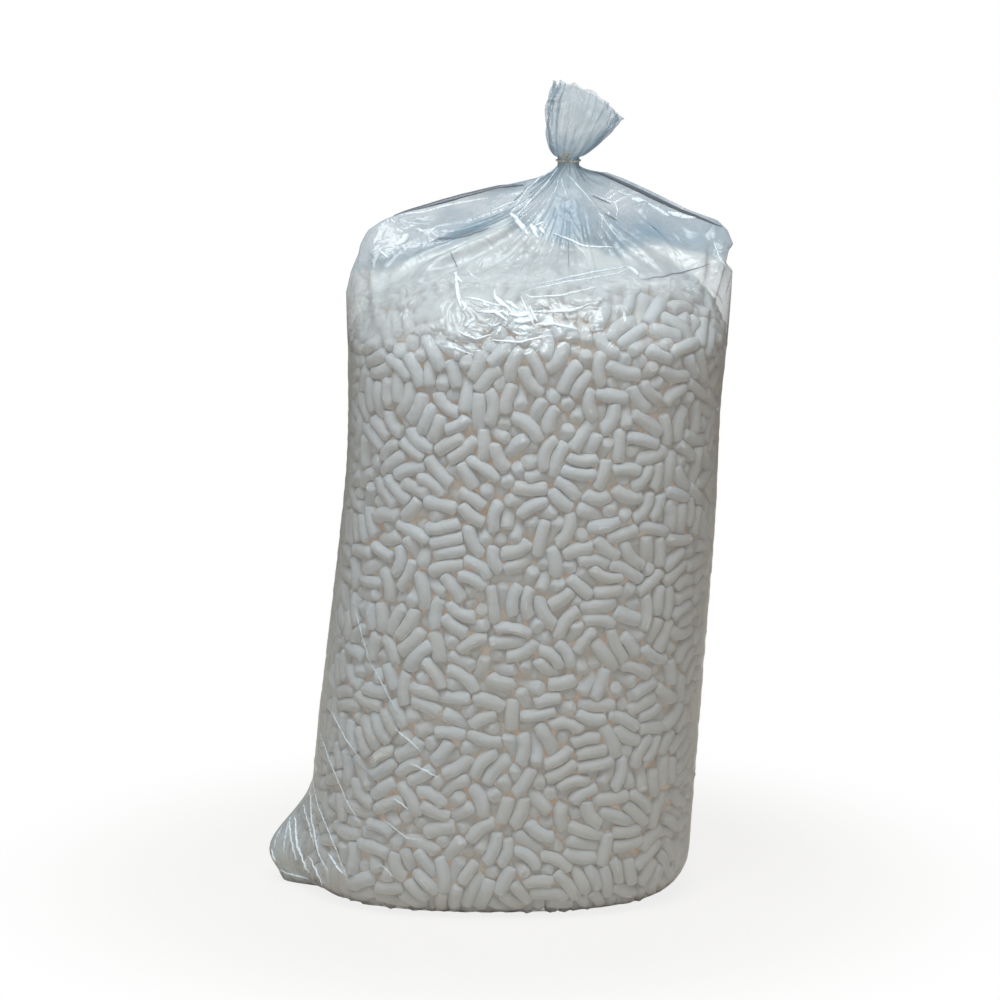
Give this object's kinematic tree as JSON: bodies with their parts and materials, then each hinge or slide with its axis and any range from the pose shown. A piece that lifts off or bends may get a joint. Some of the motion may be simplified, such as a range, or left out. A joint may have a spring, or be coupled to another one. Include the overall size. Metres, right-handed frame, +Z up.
{
  "type": "packing peanut bag",
  "caption": "Clear film bag filled with loose white packing peanuts, gathered and tied at the neck, standing on its base.",
  "frame": {"origin": "middle of the bag's footprint, on the surface that it stands on", "axes": "+Z up from the base to the neck, -Y out of the broad front, +X to the right of the front, where the bag leans"},
  "size_m": [0.4965, 0.32, 0.8803],
  "materials": {
    "clear_film": "clear polythene film, glossy, a little milky where it is creased",
    "white_foam": "matt off-white expanded foam",
    "tie_wire": "thin beige coated wire"
  },
  "bodies": {
    "root": {"film_bag": "clear_film", "peanut_fill": "white_foam", "neck_tie": "tie_wire"}
  },
  "joints": []
}
